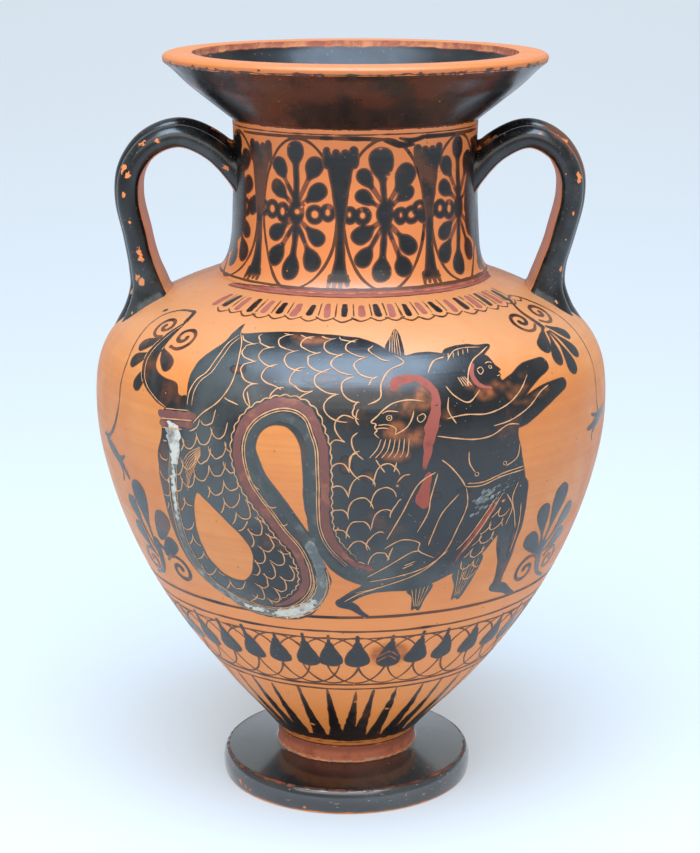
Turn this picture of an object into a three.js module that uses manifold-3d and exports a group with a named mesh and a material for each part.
// A neck amphora: a turned storage jar of fired clay with a set-off neck and two strap handles.
// It is one hollow piece, open at the mouth. Millimetres, +Z up, origin on the ground under the belly's
// middle, handles along X.
import * as THREE from "three";
import { mergeVertices } from "three/addons/utils/BufferGeometryUtils.js";
import Module from "manifold-3d";

// Driving dimensions
const HEIGHT = 300;
const BELLY_RADIUS = 103;
const BELLY_HEIGHT = 163;
const LIP_RADIUS = 75.5;
const LIP_FLAT_INNER_RADIUS = 64;
const LIP_FLAT_OUTER_RADIUS = 73.6;
const LIP_EDGE_HEIGHT = 3.4;
const MOUTH_JOINT_HEIGHT = 274.6;
const NECK_RADIUS = 48.3;
const NECK_BASE_HEIGHT = 214;
const NECK_BASE_RADIUS = 54.5;
const STEM_RADIUS = 28.7;
const STEM_TOP_HEIGHT = 19.8;
const FOOT_RADIUS = 52;
const FOOT_THICKNESS = 10;
const FOOT_TOP_RADIUS = 49.6;
const FOOT_LOWER_RADIUS = 51.2;
const FOOT_WIDEST_HEIGHT = 4.6;
const FOOT_CROWN_HEIGHT = 12.3;
const RESTING_RING_INNER_RADIUS = 39;
const FOOT_HOLLOW_HEIGHT = 13;
const WALL = 5.2;
const NECK_WALL = 5.6;
const MOUTH_WALL = 7.4;
const FLOOR_HEIGHT = 24.6;

// The jar was thrown in parts: the foot sits a little to one side of the belly, the mouth to the other.
const FOOT_OFFSET = -1.9;
const MOUTH_OFFSET = 1.7;
const FOOT_OFFSET_ENDS = 60;
const MOUTH_OFFSET_STARTS = 196;
const MOUTH_OFFSET_ENDS = 232;

// Handle: three reeds side by side
const REED_SPACING = 9;
const SIDE_REED_RADIUS = 4.9;
const MIDDLE_REED_RADIUS = 5.3;
const MIDDLE_REED_RISE = 1.5;
const HANDLE_INNER_FACE = 4.1;
const HANDLE_ROOT_TOP = 210;
const HANDLE_ROOT_DEPTH = 20;
const HANDLE_ROOT_SPREAD = 0.3;
const HANDLE_STEPS = 26;

// Routes of the two handles as [distance from the axis, height]; the right one leans in a little more
const LEFT_ROUTE = [
  [41.5, 243],
  [46.5, 252],
  [56.5, 262.5],
  [69, 267.5],
  [80.5, 263.5],
  [87.6, 254],
  [89, 243],
  [86, 228],
  [83.4, 216],
  [82.4, 207],
  [84.4, 198],
  [88.6, 189],
  [92, 181],
];
const RIGHT_ROUTE = [
  [41.5, 243],
  [46.5, 252],
  [56.3, 262.4],
  [68.2, 267.2],
  [78.2, 262.8],
  [84, 253.5],
  [84.6, 243],
  [81.2, 228],
  [78.7, 216],
  [79, 207],
  [82.4, 198],
  [87.6, 189],
  [92, 181],
];

const AROUND = 56;
const ARC_POINTS = 3;

// A smooth line through sections given as [radius, height]
function smooth(sections, points) {
  const curve = new THREE.SplineCurve(sections.map(([r, z]) => new THREE.Vector2(r, z)));
  return curve.getSpacedPoints(points - 1);
}

// A quarter round with its own centre, from one angle to another in degrees
function arc(centreRadius, centreHeight, radial, vertical, from, to) {
  const points = [];
  for (let i = 0; i <= ARC_POINTS; i += 1) {
    const angle = THREE.MathUtils.degToRad(from + ((to - from) * i) / ARC_POINTS);
    const r = centreRadius + radial * Math.cos(angle);
    const z = centreHeight + vertical * Math.sin(angle);
    points.push(new THREE.Vector2(r, z));
  }
  return points;
}

// Foot disc with a rounded edge, and the plain stem ring above it
function footOutline() {
  const low = FOOT_WIDEST_HEIGHT;
  const lowerBulge = FOOT_RADIUS - FOOT_LOWER_RADIUS;
  const upperBulge = FOOT_RADIUS - FOOT_TOP_RADIUS;
  return [
    new THREE.Vector2(0, 0),
    ...arc(FOOT_LOWER_RADIUS, low, lowerBulge, low, -90, 0),
    ...arc(FOOT_TOP_RADIUS, low, upperBulge, FOOT_THICKNESS - low, 0, 90).slice(1),
    new THREE.Vector2(STEM_RADIUS + 1.6, FOOT_CROWN_HEIGHT),
    new THREE.Vector2(STEM_RADIUS, FOOT_CROWN_HEIGHT + 1.6),
    new THREE.Vector2(STEM_RADIUS, STEM_TOP_HEIGHT - 1.2),
  ];
}

// Ovoid body, widest above the middle, with a broad sloping shoulder
function bodyOutline() {
  const r = BELLY_RADIUS;
  const z = BELLY_HEIGHT;
  return smooth([
    [STEM_RADIUS, STEM_TOP_HEIGHT],
    [0.36 * r, 0.184 * z],
    [0.514 * r, 0.294 * z],
    [0.687 * r, 0.442 * z],
    [0.823 * r, 0.589 * z],
    [0.92 * r, 0.736 * z],
    [0.982 * r, 0.883 * z],
    [r, z],
    [0.983 * r, 1.104 * z],
    [0.918 * r, 1.178 * z],
    [0.8 * r, 1.236 * z],
    [0.65 * r, 1.282 * z],
    [NECK_BASE_RADIUS, NECK_BASE_HEIGHT - 0.8],
  ], 19);
}

// Neck with a slight waist, spreading at its foot
function neckOutline() {
  return smooth([
    [NECK_BASE_RADIUS, NECK_BASE_HEIGHT],
    [NECK_RADIUS + 3.1, NECK_BASE_HEIGHT + 4.5],
    [NECK_RADIUS + 1.2, NECK_BASE_HEIGHT + 13],
    [NECK_RADIUS + 0.3, NECK_BASE_HEIGHT + 30],
    [NECK_RADIUS - 0.2, NECK_BASE_HEIGHT + 48],
    [NECK_RADIUS + 0.2, MOUTH_JOINT_HEIGHT],
  ], 6);
}

// Echinus mouth that flares to a flat lip
function mouthOutline() {
  const rise = HEIGHT - MOUTH_JOINT_HEIGHT;
  const flare = LIP_RADIUS - NECK_RADIUS;
  const wall = smooth([
    [NECK_RADIUS + 0.04 * flare, MOUTH_JOINT_HEIGHT + 0.4],
    [NECK_RADIUS + 0.36 * flare, MOUTH_JOINT_HEIGHT + 0.29 * rise],
    [NECK_RADIUS + 0.64 * flare, MOUTH_JOINT_HEIGHT + 0.53 * rise],
    [NECK_RADIUS + 0.86 * flare, MOUTH_JOINT_HEIGHT + 0.76 * rise],
    [LIP_RADIUS - 0.4, HEIGHT - LIP_EDGE_HEIGHT],
  ], 5);
  return [
    ...wall,
    new THREE.Vector2(LIP_RADIUS, HEIGHT - 0.45 * LIP_EDGE_HEIGHT),
    new THREE.Vector2(LIP_FLAT_OUTER_RADIUS + 0.9, HEIGHT - 0.4),
    new THREE.Vector2(LIP_FLAT_OUTER_RADIUS, HEIGHT),
    new THREE.Vector2(0, HEIGHT),
  ];
}

// The hollow: round floor, belly, neck and mouth, its top above the lip so that the cut is clean
function hollowOutline() {
  const r = BELLY_RADIUS - WALL;
  const z = BELLY_HEIGHT;
  const belly = smooth([
    [0, FLOOR_HEIGHT],
    [0.2 * r, FLOOR_HEIGHT + 2.2],
    [0.34 * r, 0.215 * z],
    [0.485 * r, 0.31 * z],
    [0.665 * r, 0.45 * z],
    [0.812 * r, 0.597 * z],
    [0.916 * r, 0.743 * z],
    [0.981 * r, 0.889 * z],
    [r, z],
    [0.979 * r, 1.096 * z],
    [0.905 * r, 1.164 * z],
    [0.78 * r, 1.217 * z],
    [0.62 * r, 1.26 * z],
    [NECK_RADIUS - NECK_WALL + 4.5, NECK_BASE_HEIGHT - 3.5],
  ], 16);
  const neck = smooth([
    [NECK_RADIUS - NECK_WALL + 1.2, NECK_BASE_HEIGHT + 4],
    [NECK_RADIUS - NECK_WALL, NECK_BASE_HEIGHT + 26],
    [NECK_RADIUS - NECK_WALL, MOUTH_JOINT_HEIGHT - 6],
  ], 3);
  const flare = LIP_FLAT_INNER_RADIUS - NECK_RADIUS;
  const mouth = smooth([
    [NECK_RADIUS - NECK_WALL + 1.4, MOUTH_JOINT_HEIGHT + 0.6],
    [NECK_RADIUS + 0.16 * flare, HEIGHT - 2.5 * MOUTH_WALL],
    [NECK_RADIUS + 0.58 * flare, HEIGHT - 1.4 * MOUTH_WALL],
    [LIP_FLAT_INNER_RADIUS - 1.3, HEIGHT - 0.5 * MOUTH_WALL],
    [LIP_FLAT_INNER_RADIUS, HEIGHT],
  ], 5);
  return [
    ...belly,
    ...neck,
    ...mouth,
    new THREE.Vector2(LIP_FLAT_INNER_RADIUS, HEIGHT + 1),
    new THREE.Vector2(0, HEIGHT + 1),
  ];
}

// The shallow dished hollow under the foot, which leaves a flat resting ring
function undersideOutline() {
  const r = RESTING_RING_INNER_RADIUS;
  return [
    new THREE.Vector2(0, -1),
    new THREE.Vector2(r, -1),
    new THREE.Vector2(r, 0),
    new THREE.Vector2(0.9 * r, 0.3 * FOOT_HOLLOW_HEIGHT),
    new THREE.Vector2(0.55 * r, 0.8 * FOOT_HOLLOW_HEIGHT),
    new THREE.Vector2(0.2 * r, FOOT_HOLLOW_HEIGHT),
    new THREE.Vector2(0, FOOT_HOLLOW_HEIGHT),
  ];
}

function turned(outline) {
  return new THREE.LatheGeometry(outline, AROUND).rotateX(Math.PI / 2);
}

// Cross-section of a handle: three round reeds outside, the middle one proud, and a flat inner face.
// Its x runs along the row's Y and its y points at the neck.
function handleSection() {
  const shape = new THREE.Shape();
  const reeds = [
    { x: -REED_SPACING, y: 0, r: SIDE_REED_RADIUS, from: 140, to: 305 },
    { x: 0, y: -MIDDLE_REED_RISE, r: MIDDLE_REED_RADIUS, from: 215, to: 325 },
    { x: REED_SPACING, y: 0, r: SIDE_REED_RADIUS, from: 235, to: 400 },
  ];
  const points = [];
  for (const reed of reeds) {
    const count = reed.x === 0 ? 3 : 4;
    for (let i = 0; i <= count; i += 1) {
      const angle = THREE.MathUtils.degToRad(reed.from + ((reed.to - reed.from) * i) / count);
      points.push(new THREE.Vector2(reed.x + reed.r * Math.cos(angle), reed.y + reed.r * Math.sin(angle)));
    }
  }
  points.push(new THREE.Vector2(REED_SPACING, HANDLE_INNER_FACE));
  points.push(new THREE.Vector2(-REED_SPACING, HANDLE_INNER_FACE));
  shape.setFromPoints(points);
  return shape;
}

// The handle leaves the neck under the mouth, arches out and comes down on the shoulder
function handlePath(route) {
  return new THREE.CatmullRomCurve3(route.map(([x, z]) => new THREE.Vector3(x, 0, z)));
}

// Each handle spreads sideways where it is pressed on to the shoulder
function spreadRoot(geometry) {
  const place = geometry.attributes.position;
  for (let i = 0; i < place.count; i += 1) {
    const down = THREE.MathUtils.clamp((HANDLE_ROOT_TOP - place.getZ(i)) / HANDLE_ROOT_DEPTH, 0, 1.2);
    const spread = HANDLE_ROOT_SPREAD * down * down;
    place.setY(i, place.getY(i) * (1 + spread));
  }
  return geometry;
}

function handle(route) {
  const settings = { steps: HANDLE_STEPS, bevelEnabled: false, extrudePath: handlePath(route) };
  return spreadRoot(new THREE.ExtrudeGeometry(handleSection(), settings));
}

const wasm = await Module();
wasm.setup();

// A closed geometry as a solid for joining and cutting
function solid(geometry) {
  geometry.deleteAttribute("normal");
  geometry.deleteAttribute("uv");
  const merged = mergeVertices(geometry, 1e-4);
  const index = merged.index.array;
  const kept = [];
  for (let i = 0; i < index.length; i += 3) {
    const [a, b, c] = [index[i], index[i + 1], index[i + 2]];
    if (a !== b && b !== c && c !== a) {
      kept.push(a, b, c);
    }
  }
  return new wasm.Manifold(new wasm.Mesh({
    numProp: 3,
    vertProperties: new Float32Array(merged.attributes.position.array),
    triVerts: new Uint32Array(kept),
  }));
}

// Sideways offset of the potter's parts at a height
function lean(z) {
  const foot = 1 - THREE.MathUtils.smoothstep(z, FOOT_THICKNESS, FOOT_OFFSET_ENDS);
  const mouth = THREE.MathUtils.smoothstep(z, MOUTH_OFFSET_STARTS, MOUTH_OFFSET_ENDS);
  return FOOT_OFFSET * foot + MOUTH_OFFSET * mouth;
}

function toGeometry(manifold) {
  const mesh = manifold.getMesh();
  const points = new Float32Array(mesh.vertProperties);
  for (let i = 0; i < points.length; i += 3) {
    points[i] += lean(points[i + 2]);
  }
  const geometry = new THREE.BufferGeometry();
  geometry.setAttribute("position", new THREE.BufferAttribute(points, 3));
  geometry.setIndex(new THREE.BufferAttribute(new Uint32Array(mesh.triVerts), 1));
  geometry.computeVertexNormals();
  return geometry;
}

const outside = [...footOutline(), ...bodyOutline(), ...neckOutline(), ...mouthOutline()];
const rightHandle = solid(handle(RIGHT_ROUTE));
const leftHandle = solid(handle(LEFT_ROUTE).rotateZ(Math.PI));
const jar = solid(turned(outside))
  .add(rightHandle)
  .add(leftHandle)
  .subtract(solid(turned(hollowOutline())))
  .subtract(solid(turned(undersideOutline())));

const clay = new THREE.MeshStandardMaterial({ color: 0xd9783c, roughness: 0.5, metalness: 0 });
const amphora = new THREE.Mesh(toGeometry(jar), clay);
amphora.name = "amphora";

const model = new THREE.Group();
model.add(amphora);

export default model;
